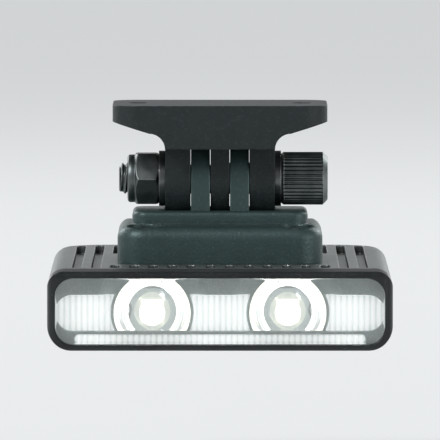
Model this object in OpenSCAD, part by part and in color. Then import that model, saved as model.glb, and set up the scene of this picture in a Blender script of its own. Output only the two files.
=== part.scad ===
// Bike headlight: a flat twin lamp that hangs from a finger hinge below a bar or computer mount.
// Millimetres. X is the width, the beam leaves along -Y and Z is up.
// The origin is the centre of the hanger's flat top face.

/* [Lamp body] */
// Width of the lamp body
body_w = 54; // [52:0.5:64]
// Length of the lamp body from its front face to its rear face
body_l = 80; // [78:1:100]
// Height of the lamp body
body_h = 12.4; // [12.2:0.2:16]
// Distance from the hinge axis forward to the front face
front_reach = 35; // [34:0.5:42]
// Radius of the upper edges along the sides and the rear
top_edge_r = 2.6; // [1.5:0.1:3]
// Radius of the lower edges along the sides and the rear
bottom_edge_r = 4; // [2.5:0.1:4.4]
// Radius of the rear corners seen from above
rear_corner_r = 9; // [6:0.5:12]
// Thickness of the side walls
wall_t = 1.6; // [1.4:0.1:2]
// Thickness of the roof below the base, fins included
roof_t = 3; // [2.6:0.1:3.2]
// Thickness of the floor
floor_t = 1.5; // [1.3:0.1:1.8]
// Thickness of the rear wall that holds the port cover
rear_wall_t = 3; // [2.9:0.1:4]
// Height of the lower tray
tray_h = 3.6; // [3.2:0.1:4]

/* [Cooling fins] */
// Depth of the grooves between the fins
groove_d = 1.3; // [0.8:0.1:1.6]
// Width of a groove
groove_w = 1.5; // [1:0.1:2]
// Distance from groove to groove
groove_pitch = 3; // [2.6:0.1:5]

/* [Front] */
// Depth of the bezel
bezel_t = 9; // [8:0.1:10]
// Height of the rim above the window
rim_t = 1; // [0.9:0.1:1.4]
// Width of the rim beside the window
side_rim = 1.2; // [1.1:0.1:3]
// Height of the lip below the window
lip_h = 0.9; // [0.8:0.1:1.4]
// Radius of the lip's lower front edge
lip_r = 0.8; // [0.4:0.1:1]
// Radius of the window's upper corners
window_r = 3; // [1.5:0.1:3.6]
// Distance of the window's outer face behind the front face
lens_recess = 0.5; // [0.2:0.1:0.8]
// Depth of the bezel's rim in front of the seat of the window
rim_depth = 1.8; // [1.4:0.1:2.2]
// Thickness of the window's flange
lens_flange_t = 1; // [0.8:0.1:1.4]
// Thickness of the seal behind the window
lens_gasket_t = 0.6; // [0.4:0.1:1]

/* [Lamps] */
// Distance between the two main lamps
led_pitch = 21.2; // [19:0.2:24]
// Diameter of a beam optic
optic_d = 12; // [10:0.2:13]
// Length of a beam optic
optic_l = 7; // [6:0.1:8]
// Height of the lit bar
bar_h = 5.4; // [4:0.1:5.8]
// Depth of the lit bar's diffusers
bar_depth = 2.4; // [1.5:0.1:3]
// Height of the thin lit strip below the bar
chin_h = 1.2; // [0.9:0.1:1.5]
// Height of the rib between the bar and the strip
chin_rib_h = 0.7; // [0.5:0.1:1]
// Radius of the flared cells around the optics
flare_r = 9; // [7.6:0.1:9.8]

/* [Hinge] */
// Height of the hanger's top face above the hinge axis
pivot_drop = 12; // [11.5:0.1:15]
// Height of the hinge axis above the roof
pivot_rise = 12.9; // [12:0.1:16]
// Diameter of the cross bolt
bolt_d = 5; // [4:0.5:5]
// Thickness of the inner fingers
finger_t = 3; // [2.6:0.1:3.4]
// Thickness of the hanger's outer fingers
outer_finger_t = 4; // [3:0.1:5]
// Radius of the finger tips
finger_r = 7.4; // [6.6:0.1:7.6]
// Length of the cross bolt's head
bolt_head_l = 7.4; // [5:0.1:8]
// Diameter of the cross bolt's head
bolt_head_d = 8.4; // [8:0.1:9]

/* [Hanger] */
// Width of the hanger's plate
plate_w = 34; // [33:0.5:42]
// Length of the hanger's plate
plate_l = 24; // [20:0.5:30]
// Thickness of the hanger's plate at its rim
plate_t = 2.6; // [2:0.1:3]
// Distance between the two mounting holes
hole_pitch = 26; // [25.5:0.5:27]
// Diameter of the mounting holes
hole_d = 3.4; // [3:0.1:3.6]

/* [Base] */
// Width of the base's foot
base_w = 32.4; // [31:0.2:38]
// Length of the base's foot
base_l = 30; // [28:0.5:34]
// Width of the base's neck
neck_w = 27.8; // [24:0.2:29]
// Length of the base's neck
neck_l = 17; // [16:0.5:18]
// Height of the base's shoulders
shoulder_h = 6; // [5.4:0.1:6.6]
// Thickness of the foot below the screw heads
screw_seat_t = 2.4; // [2:0.1:3]

/* [Button and port] */
// Diameter of the power button
button_d = 10; // [8:0.1:11]
// Travel of the power button
button_travel = 0.6; // [0.3:0.05:0.8]
// Distance from the rear face to the button's centre
button_back = 10.5; // [10:0.1:11.5]
// Width of the port cover
flap_w = 13; // [12:0.2:18]
// Thickness of the port cover
flap_t = 1.9; // [1.5:0.1:2]

/* [Inside] */
// Length of the driver board
pcb_l = 16.6; // [16:0.1:18]
// Width of the driver board
pcb_w = 31; // [30:0.2:33]
// Height of the driver board's posts
post_h = 2.8; // [2.6:0.1:3]
// Height of the lamp board
lamp_board_h = 6.2; // [5.8:0.1:6.4]
// Width of the lamp board
lamp_board_w = 44; // [42:0.5:46]

/* [Hidden] */
$fn = 64;

// Clearances
fit = 0.1;
slip = 0.05;
swing = 0.8;
over = 1;

// Planes of the lamp body
pivot_z = -pivot_drop;
top_z = pivot_z - pivot_rise;
bottom_z = top_z - body_h;
roof_z = top_z - roof_t;
floor_z = bottom_z + floor_t;
split_z = bottom_z + tray_h;
front_y = -front_reach;
rear_y = front_y + body_l;
inner_rear_y = rear_y - rear_wall_t;
bezel_back_y = front_y + bezel_t;
inner_w = body_w - 2 * wall_t;
rim_edge_r = 0.8;
front_corner_r = 2;
roof_inner_r = 0.8;
seam_w = 0.4;
seam_d = 0.3;
groove_front_wall = 1.6;
groove_rear_wall = 2;
land_x = 0.6;
land_y = 1.2;

// Window and the stack behind it
window_w = body_w - 2 * side_rim;
window_top_z = top_z - rim_t;
window_bottom_z = bottom_z + lip_h;
window_low_r = bottom_edge_r - lip_h;
ledge = 0.5;
lens_front_y = front_y + lens_recess;
ledge_y = front_y + rim_depth;
lens_back_y = ledge_y + lens_flange_t;
gasket_back_y = lens_back_y + lens_gasket_t;

// Optics and lamp board
cell_margin = 0.3;
chin_z0 = window_bottom_z + cell_margin;
chin_z1 = chin_z0 + chin_h;
chin_half = window_w / 2 - window_low_r;
chin_floor = 0.8;
chin_back_y = gasket_back_y + bar_depth + chin_floor;
rib_depth = 1;
rib_slot_w = 4;
bar_z0 = chin_z1 + chin_rib_h;
bar_z1 = bar_z0 + bar_h;
bar_end_r = 2.4;
bar_gap = 0.5;
cell_bottom_z = bar_z0 - cell_margin;
optic_bottom_z = bar_z0;
optic_top_z = window_top_z - cell_margin;
led_x = led_pitch / 2;
led_z = (bar_z0 + bar_z1) / 2;
optic_r = optic_d / 2;
optic_neck_r = 2.6;
optic_band = 1;
optic_steps = 8;
optic_front_y = gasket_back_y + 2 * fit;
optic_rear_y = optic_front_y + optic_l;
optic_fit = 0.15;
eye_wall = 0.5;
eye_r = bar_h / 2 - eye_wall;
eye_depth = 0.9;
eye_rise = 0.8;
eye_brim = 0.2;
flare_depth = 2;
dome_r = 1.3;
led_side = 3.45;
led_t = 0.7;
dome_gap = 0.3;
dome_pocket_r = dome_r + dome_gap;
dome_pocket_l = dome_r + 3 * dome_gap;
lamp_board_t = 1.6;
lamp_board_y0 = optic_rear_y + led_t + fit;
lamp_board_y1 = lamp_board_y0 + lamp_board_t;
lamp_board_z1 = roof_z - 2 * fit;
lamp_board_z0 = lamp_board_z1 - lamp_board_h;
lamp_board_r = 1;
lamp_board_edge = 0.5;
bar_led = [3, 0.7, 1.4];
bar_led_inner_x = 2;
bar_led_outer_x = lamp_board_w / 2 - bar_led[0] / 2 - lamp_board_edge;
tunnel_margin = 0.2;
lamp_screw_x = (led_x + optic_neck_r + bar_led_outer_x - bar_led[0] / 2) / 2;
lamp_screw_z = (lamp_board_z0 + lamp_board_z1) / 2;
m2_r = 0.95;
m2_head_r = 1.8;
m2_head_h = 1.2;
hex_m2 = 1.5;
hex_m2_depth = 0.7;
head_room = 0.3;

// Heat bracket
spreader_t = 2;
spreader_inset = 1;
spreader_y1 = lamp_board_y1 + spreader_t;
spreader_w = lamp_board_w - 2 * spreader_inset;
foot_l = 4.6;
foot_t = 1.6;
foot_w = 26;
foot_slot_w = 7;
pad_t = 0.5;
foot_z1 = roof_z - pad_t;

// Screws that close the shells
m25_r = 1.2;
m25_head_r = 2.3;
m25_head_h = 1.2;
m25_l = 7;
m25_run = 0.5;
hex_m25 = 1.5;
hex_m25_depth = 0.9;
boss_r = 2.5;
boss_gap = 0.3;
boss_back = 1;
boss_x = body_w / 2 - bottom_edge_r - m25_head_r - boss_gap;
front_boss_y = spreader_y1 + boss_r + boss_gap;
rear_boss_y = rear_y - rear_corner_r - boss_r - boss_back;
round_end = 0.98;
tongue_t = 1.2;
tongue_z1 = floor_z + tongue_t;
tongue_root = 1.5;
gasket_inset = 0.45;
gasket_w = 0.7;
gasket_t = 0.8;

// Hinge
finger_x0 = finger_t / 2 + fit;
finger_x1 = finger_x0 + finger_t;
outer_x0 = finger_x1 + fit;
outer_x1 = outer_x0 + outer_finger_t;
bolt_r = bolt_d / 2;
washer_t = 1;
washer_brim = 0.2;
washer_r = bolt_head_d / 2 + washer_brim;
bolt_head_x = outer_x1 + washer_t;
nut_t = 5;
nut_flats = 8;
nut_collar_h = 1.2;
nut_collar_r = 3.8;
nut_hex_l = nut_t - nut_collar_h;
nut_rim = 0.1;
nut_turned_r = nut_flats / 2 - nut_rim;
nut_bevel = 0.6;
bolt_tip = 1.3;
head_chamfer = 0.8;
hex_flats = 4;
hex_depth = 3;
hex_ratio = 2 / sqrt(3);
neck_clear = 0.4;
neck_top_z = pivot_z - washer_r - neck_clear;
pocket_r = finger_r + swing;

// Hanger
plate_r = 4;
root_z = -4.4;
root_r = 2.5;
root_w = 2 * (outer_x1 + root_r);
nut_pocket_flats = 5.6;
nut_pocket_z = -2;

// Base
shoulder_z = top_z + shoulder_h;
shoulder_r = 2;
base_corner_r = 4;
neck_r = 0.8;
neck_corner_r = 2.4;
m3_r = 1.5;
m3_head_r = 2.75;
m3_head_h = 3;
seat_side = 1.6;
seat_end = 0.8;
base_screw_x = base_w / 2 - m3_head_r - seat_side;
base_screw_y = base_l / 2 - m3_head_r - seat_end;
screw_seat_z = top_z + screw_seat_t;
m3_end_wall = 0.6;
m3_depth = roof_t - m3_end_wall;
hex_m3 = 2.5;
hex_m3_depth = 1.5;

// Driver board, socket and switch
pcb_t = 1;
pcb_z0 = floor_z + post_h;
pcb_z1 = pcb_z0 + pcb_t;
pcb_y1 = inner_rear_y - 2 * fit;
pcb_y0 = pcb_y1 - pcb_l;
pcb_r = 1;
post_r = 2.1;
post_edge = 0.6;
post_front = 0.3;
post_x = pcb_w / 2 - post_r - post_edge;
post_y0 = pcb_y0 + post_r + post_front;
post_y1 = pcb_y1 - post_r - post_edge;
coil = [6, 6, 2.8];
coil_r = 1;
chip = [5, 5, 0.9];
can = [3.2, 1.6, 1.6];
coil_gap = 0.8;
can_gap = 0.4;
usb = [8.94, 7.3, 3.2];
usb_r = 1.55;
usb_wall = 0.3;
usb_back = 1;
usb_tongue = [6.7, 5, 0.7];
port_gap = 0.3;
port_floor_y = rear_y - flap_t - port_gap;
switch_side = 6;
switch_t = 0.8;
plunger_r = 1.3;
plunger_h = 0.3;
button_y = rear_y - button_back;
button_r = button_d / 2;
button_flange = 1.2;
button_flange_t = 0.7;
button_clear = 0.2;
button_lead = 0.6;
dish_depth = 0.4;
plunger_z = pcb_z0 - switch_t - plunger_h;
nub_z = plunger_z - button_travel - slip;
nub_r = plunger_r + 2 * fit;
pipe_r = 0.9;
pipe_pitch = 3.2;
pipe_gap = 0.4;
pipe_y = button_y - button_r - button_flange - pipe_r - pipe_gap;

// Port cover
flap_gap = 0.25;
flap_under = 0.5;
flap_open = 110;
flap_axis_y = rear_y - slip - flap_t / 2;
flap_axis_z = pcb_z1 + usb[2] + flap_t / 2 + flap_gap;
flap_z0 = pcb_z1 - flap_under;
trunnion_r = 0.6;
trunnion_l = 1;
pull_h = 0.9;
pull_out = 0.6;

// Battery
cell_front_gap = 0.6;
cell_rear_gap = 1.2;
cell_side_gap = 0.5;
cell_top_gap = 0.5;
battery_y0 = spreader_y1 + foot_l + cell_front_gap;
battery_y1 = pcb_y0 - cell_rear_gap;
battery_w = 2 * (boss_x - boss_r - cell_side_gap);
foam_t = 0.5;
battery_z0 = floor_z + foam_t;
battery_z1 = roof_z - cell_top_gap;
battery_r = 1.8;
terrace_l = 2.5;
terrace_t = 0.8;
tab_w = 4;
tab_x = 8;
strip_t = 0.2;
flex_w = 5;
flex_gap = 0.5;
landing = 2.2;

// Shapes shared by several pieces

// Carries a front view outline from y0 to y1
module along_y(y0, y1) {
    translate([0, y1, 0]) rotate([90, 0, 0]) linear_extrude(y1 - y0) children();
}

// Carries a side view outline from x0 to x1
module along_x(x0, x1) {
    translate([x0, 0, 0]) rotate([90, 0, 90]) linear_extrude(x1 - x0) children();
}

// Carries a top view outline from z0 to z1
module along_z(z0, z1) {
    translate([0, 0, z0]) linear_extrude(z1 - z0) children();
}

module corner_cut(x, y, sx, sy, r) {
    cx = x + sx * r;
    cy = y + sy * r;
    difference() {
        translate([min(cx, x - sx * over), min(cy, y - sy * over)]) square(r + over);
        translate([cx, cy]) circle(r);
    }
}

// Rectangle with its own radius at each corner: lower left, lower right, upper right, upper left
module rounded(x0, y0, x1, y1, r) {
    difference() {
        translate([x0, y0]) square([x1 - x0, y1 - y0]);
        if (r[0] > 0) corner_cut(x0, y0, 1, 1, r[0]);
        if (r[1] > 0) corner_cut(x1, y0, -1, 1, r[1]);
        if (r[2] > 0) corner_cut(x1, y1, -1, -1, r[2]);
        if (r[3] > 0) corner_cut(x0, y1, 1, -1, r[3]);
    }
}

module rod_x(x0, x1, y, z, r) {
    along_x(x0, x1) translate([y, z]) circle(r);
}

module each_side() {
    children();
    mirror([1, 0, 0]) children();
}

// Block with upright rounded corners, and rounded edges that run round them
module soft_block(w, y0, y1, z0, z1, corner_r, low_r, top_r) {
    along_y(y0 + corner_r, y1 - corner_r)
        rounded(-w / 2, z0, w / 2, z1, [low_r, low_r, top_r, top_r]);
    along_x(-w / 2 + corner_r, w / 2 - corner_r)
        rounded(y0, z0, y1, z1, [low_r, low_r, top_r, top_r]);
    for (y = [y0 + corner_r, y1 - corner_r]) each_side() translate([w / 2 - corner_r, y, 0])
        rotate_extrude() rounded(0, z0, corner_r, z1, [0, low_r, top_r, 0]);
}

// Outline of the lamp body from above, drawn in by an inset
module body_plan(inset) {
    rear_r = rear_corner_r - inset;
    front_r = front_corner_r;
    rounded(-body_w / 2 + inset, front_y, body_w / 2 - inset, rear_y - inset,
        [front_r, front_r, rear_r, rear_r]);
}

// Outline of the lamp body from the front, grown by a margin
module body_outline(grow) {
    low_r = bottom_edge_r + grow;
    top_r = top_edge_r + grow;
    rounded(-body_w / 2 - grow, bottom_z - grow, body_w / 2 + grow, top_z + grow,
        [low_r, low_r, top_r, top_r]);
}

// Outer form of the lamp body between two planes across its length
module body_form(y0, y1) {
    front_r = front_corner_r;
    intersection() {
        soft_block(body_w, front_y - 2 * rear_corner_r, rear_y, bottom_z, top_z,
            rear_corner_r, bottom_edge_r, top_edge_r);
        along_y(y0, y1) translate([-body_w, bottom_z - over]) square([2 * body_w, body_h + 2 * over]);
        along_z(bottom_z - over, top_z + over)
            rounded(-body_w / 2, front_y, body_w / 2, rear_y + over, [front_r, front_r, 0, 0]);
        along_x(-body_w, body_w) rounded(front_y, bottom_z, rear_y + over, top_z, [lip_r, 0, 0, rim_edge_r]);
    }
}

// Hollow of the two shells
module cavity() {
    low_r = max(bottom_edge_r - wall_t, roof_inner_r);
    back_r = rear_corner_r - wall_t;
    intersection() {
        along_y(front_y, inner_rear_y)
            rounded(-inner_w / 2, floor_z, inner_w / 2, roof_z, [low_r, low_r, roof_inner_r, roof_inner_r]);
        along_z(bottom_z, top_z)
            rounded(-inner_w / 2, front_y, inner_w / 2, inner_rear_y, [0, 0, back_r, back_r]);
    }
}

// Ring cut for the seal between the shells, or the seal itself
module seal_ring(gap) {
    difference() {
        body_plan(gasket_inset - gap);
        body_plan(gasket_inset + gasket_w + gap);
        translate([-body_w, front_y - over]) square([2 * body_w, bezel_back_y - front_y + over]);
    }
}

// Front view outline of the window, grown by a margin
module window_outline(grow) {
    low_r = window_low_r + grow;
    top_r = window_r + grow;
    rounded(-window_w / 2 - grow, window_bottom_z - grow, window_w / 2 + grow, window_top_z + grow,
        [low_r, low_r, top_r, top_r]);
}

// Front view outline of the deep cell above the lit strip, grown by a margin
module cell_outline(grow) {
    r = window_r + grow;
    rounded(-window_w / 2 - grow, cell_bottom_z - grow, window_w / 2 + grow, window_top_z + grow,
        [r, r, r, r]);
}

// Front view outline of the lit strip, grown by a margin
module chin_outline(grow) {
    r = chin_h / 2 * round_end + grow;
    rounded(-chin_half - grow, chin_z0 - grow, chin_half + grow, chin_z1 + grow, [r, r, r, r]);
}

// Front view outline of the slots that pass light from the bar to the strip
module rib_slots() {
    for (x = [-bar_led_outer_x, 0, bar_led_outer_x])
        translate([x - rib_slot_w / 2, chin_z1 - chin_h / 2])
            square([rib_slot_w, chin_h / 2 + chin_rib_h + cell_margin]);
}

// Front view outline of the lit bar between and beside the optics, grown by a margin
module bar_outline(grow) {
    half = window_w / 2 - cell_margin + grow;
    r = bar_end_r + grow;
    difference() {
        rounded(-half, bar_z0 - grow, half, bar_z1 + grow, [r, r, r, r]);
        for (side = [-1, 1])
            translate([side * led_x, led_z]) circle(optic_r + bar_gap - grow);
    }
}

// Beam optic as a body of revolution that widens like a parabola, grown by a margin
module optic_revolve(grow) {
    flank = [for (i = [0 : optic_steps])
        let (share = i / optic_steps)
        [optic_neck_r + (optic_r - optic_neck_r) * sqrt(share) + grow, share * (optic_l - optic_band)]];
    outline = concat([[0, -grow], [optic_neck_r + grow, -grow]], flank,
        [[optic_r + grow, optic_l + grow], [0, optic_l + grow]]);
    translate([0, optic_rear_y, led_z]) rotate([90, 0, 0]) rotate_extrude() polygon(outline);
}

// Space between the flats that cut the optics above and below, grown by a margin
module optic_slab(grow) {
    half = led_x + flare_r;
    translate([-half, front_y, optic_bottom_z - grow])
        cube([2 * half, body_l, optic_top_z - optic_bottom_z + 2 * grow]);
}

// Recess in the front of an optic, with a lens standing up from its floor
module optic_eye() {
    lens_half = eye_r - eye_brim;
    lens_r = (lens_half * lens_half + eye_rise * eye_rise) / (2 * eye_rise);
    translate([0, optic_front_y + eye_depth, led_z]) rotate([90, 0, 0]) rotate_extrude() difference() {
        square([eye_r, eye_depth + over]);
        translate([0, eye_rise - lens_r]) circle(lens_r);
    }
}

module optic(side) {
    difference() {
        intersection() {
            translate([side * led_x, 0, 0]) optic_revolve(0);
            optic_slab(0);
        }
        along_y(optic_rear_y - dome_pocket_l, optic_rear_y + over)
            translate([side * led_x, led_z]) circle(dome_pocket_r);
        translate([side * led_x, 0, 0]) optic_eye();
    }
}

// Screw that points up, with its head's underside at the origin
module cap_screw(r, head_r, head_h, length, hex, depth) {
    difference() {
        union() {
            translate([0, 0, -length]) cylinder(r = r, h = length);
            cylinder(r = head_r, h = head_h);
        }
        translate([0, 0, head_h - depth]) cylinder(d = hex * hex_ratio, h = depth + over, $fn = 6);
    }
}

// Finger with a round tip at the hinge axis and straight flanks towards z_root
module finger(x0, x1, z_root) {
    along_x(x0, x1) {
        translate([0, pivot_z]) circle(finger_r);
        translate([-finger_r, min(pivot_z, z_root)]) square([2 * finger_r, abs(pivot_z - z_root)]);
    }
}

// Hanger

module hanger_bracket() color("#24272a") difference() {
    union() {
        intersection() {
            along_y(-plate_l / 2, plate_l / 2) difference() {
                polygon([[-plate_w / 2, 0], [plate_w / 2, 0], [plate_w / 2, -plate_t],
                    [root_w / 2, root_z], [root_w / 2 - root_r, root_z - root_r],
                    [-root_w / 2 + root_r, root_z - root_r], [-root_w / 2, root_z],
                    [-plate_w / 2, -plate_t]]);
                for (side = [-1, 1])
                    translate([side * root_w / 2, root_z - root_r]) circle(root_r);
            }
            along_z(root_z - root_r - over, over)
                rounded(-plate_w / 2, -plate_l / 2, plate_w / 2, plate_l / 2,
                    [plate_r, plate_r, plate_r, plate_r]);
        }
        finger(-finger_t / 2, finger_t / 2, root_z);
        each_side() finger(outer_x0, outer_x1, root_z);
    }
    each_side() rod_x(finger_x0 - fit, finger_x1 + fit, 0, pivot_z, pocket_r);
    rod_x(-plate_w, plate_w, 0, pivot_z, bolt_r + fit);
    each_side() translate([hole_pitch / 2, 0, 0]) {
        translate([0, 0, -plate_w]) cylinder(d = hole_d, h = 2 * plate_w);
        translate([0, 0, nut_pocket_z - plate_t])
            cylinder(d = nut_pocket_flats * hex_ratio, h = plate_t, $fn = 6);
    }
}

module pivot_bolt() color("#8d9297") difference() {
    union() {
        rod_x(-bolt_head_x - nut_t - bolt_tip, bolt_head_x, 0, pivot_z, bolt_r);
        translate([bolt_head_x, 0, pivot_z]) rotate([0, 90, 0]) rotate_extrude()
            polygon([[0, 0], [bolt_head_d / 2, 0], [bolt_head_d / 2, bolt_head_l - head_chamfer],
                [bolt_head_d / 2 - head_chamfer, bolt_head_l], [0, bolt_head_l]]);
    }
    along_x(bolt_head_x + bolt_head_l - hex_depth, bolt_head_x + bolt_head_l + over)
        translate([0, pivot_z]) circle(d = hex_flats * hex_ratio, $fn = 6);
}

module pivot_nut() color("#8d9297") difference() {
    union() {
        intersection() {
            along_x(-bolt_head_x - nut_hex_l, -bolt_head_x)
                translate([0, pivot_z]) circle(d = nut_flats * hex_ratio, $fn = 6);
            translate([-bolt_head_x, 0, pivot_z]) rotate([0, -90, 0]) rotate_extrude()
                polygon([[0, 0], [nut_turned_r, 0], [nut_turned_r + nut_bevel * sqrt(3), nut_bevel],
                    [nut_turned_r + nut_bevel * sqrt(3), nut_hex_l - nut_bevel],
                    [nut_turned_r, nut_hex_l], [0, nut_hex_l]]);
        }
        rod_x(-bolt_head_x - nut_t, -bolt_head_x - nut_hex_l, 0, pivot_z, nut_collar_r);
    }
    rod_x(-plate_w, 0, 0, pivot_z, bolt_r + slip);
}

module pivot_washers() color("#a3a7ab") each_side() along_x(outer_x1, bolt_head_x)
    translate([0, pivot_z]) difference() {
        circle(washer_r);
        circle(bolt_r + fit);
    }

// Base on the lamp's roof

module finger_base() color("#2b3033") difference() {
    union() {
        soft_block(base_w, -base_l / 2, base_l / 2, top_z, shoulder_z, base_corner_r, 0, shoulder_r);
        soft_block(neck_w, -neck_l / 2, neck_l / 2, top_z, neck_top_z, neck_corner_r, 0, neck_r);
        each_side() finger(finger_x0, finger_x1, shoulder_z);
    }
    rod_x(-finger_x0, finger_x0, 0, pivot_z, pocket_r);
    each_side() rod_x(finger_x1, outer_x1 + fit, 0, pivot_z, pocket_r);
    rod_x(-base_w, base_w, 0, pivot_z, bolt_r + fit);
    for (sx = [-1, 1], sy = [-1, 1]) translate([sx * base_screw_x, sy * base_screw_y, 0]) {
        translate([0, 0, top_z - over]) cylinder(r = m3_r + fit, h = screw_seat_t + 2 * over);
        translate([0, 0, screw_seat_z]) cylinder(r = m3_head_r + fit, h = pivot_rise);
    }
}

module base_screws() color("#55595d") for (sx = [-1, 1], sy = [-1, 1])
    translate([sx * base_screw_x, sy * base_screw_y, screw_seat_z])
        cap_screw(m3_r, m3_head_r, m3_head_h, screw_seat_t + m3_depth - 2 * fit, hex_m3, hex_m3_depth);

// Shells of the lamp body

// Rear end of a groove at x, which follows the rounded rear corner
function groove_end(x) =
    let (past = max(0, abs(x) - (body_w / 2 - rear_corner_r)))
    rear_y - top_edge_r - groove_rear_wall - rear_corner_r
        + sqrt(rear_corner_r * rear_corner_r - past * past);

module groove(x, y0, y1) {
    r = groove_w / 2;
    along_z(top_z - groove_d, top_z + over)
        rounded(x - r, y0, x + r, y1, [r, r, r, r] * round_end);
}

module grooves() {
    last = floor((body_w / 2 - top_edge_r - groove_w) / groove_pitch - 0.5);
    front_end = bezel_back_y + groove_front_wall;
    keep_y = base_l / 2 + land_y;
    keep_x = base_w / 2 + land_x + groove_w / 2;
    each_side() for (i = [0 : last]) {
        x = (i + 0.5) * groove_pitch;
        if (x > keep_x) groove(x, front_end, groove_end(x));
        else {
            groove(x, front_end, -keep_y);
            groove(x, keep_y, groove_end(x));
        }
    }
}

// Space for the port cover and its hinge
module flap_space() {
    half = flap_w / 2 + flap_gap;
    barrel_r = flap_t / 2 + flap_gap;
    along_x(-half, half) {
        translate([port_floor_y, flap_z0 - flap_gap])
            square([rear_y - port_floor_y + over, flap_axis_z - flap_z0 + flap_gap]);
        translate([flap_axis_y, flap_axis_z]) circle(barrel_r);
        for (tilt = [0, flap_open - 90])
            translate([flap_axis_y, flap_axis_z]) rotate(tilt) square([over + flap_t, barrel_r]);
    }
    rod_x(-half - trunnion_l, half + trunnion_l, flap_axis_y, flap_axis_z, trunnion_r + fit);
}

module upper_housing() color("#3c4043") difference() {
    union() {
        difference() {
            intersection() {
                body_form(bezel_back_y, rear_y);
                along_z(split_z, top_z) square([2 * body_w, 2 * body_l + front_reach], center = true);
            }
            cavity();
            grooves();
        }
        each_side() {
            translate([boss_x, front_boss_y, tongue_z1])
                cylinder(r = boss_r, h = roof_z - tongue_z1 + fit);
            translate([boss_x, rear_boss_y, split_z])
                cylinder(r = boss_r, h = roof_z - split_z + fit);
        }
    }
    for (y = [front_boss_y, rear_boss_y]) each_side()
        translate([boss_x, y, floor_z]) cylinder(r = m25_r + slip, h = m25_l - floor_t + m25_run);
    for (sx = [-1, 1], sy = [-1, 1]) translate([sx * base_screw_x, sy * base_screw_y, top_z - m3_depth])
        cylinder(r = m3_r + slip, h = m3_depth + over);
    intersection() {
        optic_slab(fit);
        each_side() translate([led_x, 0, 0]) optic_revolve(optic_fit);
    }
    along_y(inner_rear_y - over, rear_y)
        rounded(-usb[0] / 2 - fit, pcb_z1 - fit, usb[0] / 2 + fit, pcb_z1 + usb[2] + fit,
            [usb_r, usb_r, usb_r, usb_r]);
    flap_space();
}

module lower_housing() color("#26292b") difference() {
    union() {
        difference() {
            intersection() {
                body_form(bezel_back_y, rear_y);
                along_z(bottom_z, split_z) square([2 * body_w, 2 * body_l + front_reach], center = true);
            }
            cavity();
        }
        each_side() {
            translate([boss_x, rear_boss_y, floor_z - fit])
                cylinder(r = boss_r, h = split_z - floor_z + fit);
            for (y = [post_y0, post_y1])
                translate([post_x, y, floor_z - fit]) cylinder(r = post_r, h = pcb_z0 - floor_z + fit);
        }
    }
    along_z(split_z - gasket_t, split_z + over) seal_ring(slip);
    for (y = [front_boss_y, rear_boss_y]) each_side() translate([boss_x, y, bottom_z]) {
        translate([0, 0, -over]) cylinder(r = m25_r + fit, h = tray_h + 2 * over);
        cylinder(r1 = m25_head_r + slip, r2 = m25_r + slip, h = m25_head_h + slip);
    }
    for (y = [post_y0, post_y1]) each_side()
        translate([post_x, y, floor_z]) cylinder(r = m2_r + slip, h = post_h + over);
    translate([0, button_y, bottom_z]) {
        translate([0, 0, -over]) cylinder(r = button_r + button_clear, h = floor_t + 2 * over);
        cylinder(r1 = button_r + button_clear + button_lead, r2 = button_r + button_clear, h = button_lead);
    }
    for (i = [-1.5 : 1.5]) translate([i * pipe_pitch, pipe_y, bottom_z - over])
        cylinder(r = pipe_r + slip, h = floor_t + 2 * over);
}

module housing_gasket() color("#151515") along_z(split_z - gasket_t, split_z) seal_ring(0);

module housing_screws() color("#6d7276") for (y = [front_boss_y, rear_boss_y]) each_side()
    translate([boss_x, y, bottom_z]) difference() {
        union() {
            cylinder(r1 = m25_head_r, r2 = m25_r, h = m25_head_h);
            cylinder(r = m25_r, h = m25_l);
        }
        translate([0, 0, -over]) cylinder(d = hex_m25 * hex_ratio, h = over + hex_m25_depth, $fn = 6);
    }

// Front end

module tongue_plan(grow) {
    r = boss_r + grow;
    for (side = [-1, 1])
        rounded(side * boss_x - r, bezel_back_y - tongue_root - grow, side * boss_x + r,
            front_boss_y + r, [0, 0, r, r] * round_end);
}

module front_bezel() color("#101112") difference() {
    union() {
        difference() {
            body_form(front_y, bezel_back_y);
            along_y(front_y - over, chin_back_y) window_outline(0);
            along_y(ledge_y, chin_back_y) window_outline(ledge);
            along_y(ledge_y, bezel_back_y + over) cell_outline(ledge);
            along_y(bezel_back_y - seam_w, bezel_back_y + over) difference() {
                translate([-body_w, bottom_z - over]) square([2 * body_w, body_h + 2 * over]);
                body_outline(-seam_d);
            }
        }
        along_z(floor_z, tongue_z1) tongue_plan(0);
    }
    each_side() translate([boss_x, front_boss_y, floor_z - over])
        cylinder(r = m25_r + fit, h = tongue_t + 2 * over);
}

module front_lens() color("#e8f2f4") {
    along_y(lens_front_y, ledge_y) window_outline(-fit);
    along_y(ledge_y, lens_back_y) window_outline(ledge - fit);
}

module lens_gasket() color("#151515") along_y(lens_back_y, gasket_back_y) difference() {
    window_outline(ledge - fit);
    window_outline(0);
}

module optic_left() color("#f2f6f8") optic(-1);

module optic_right() color("#f2f6f8") optic(1);

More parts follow.
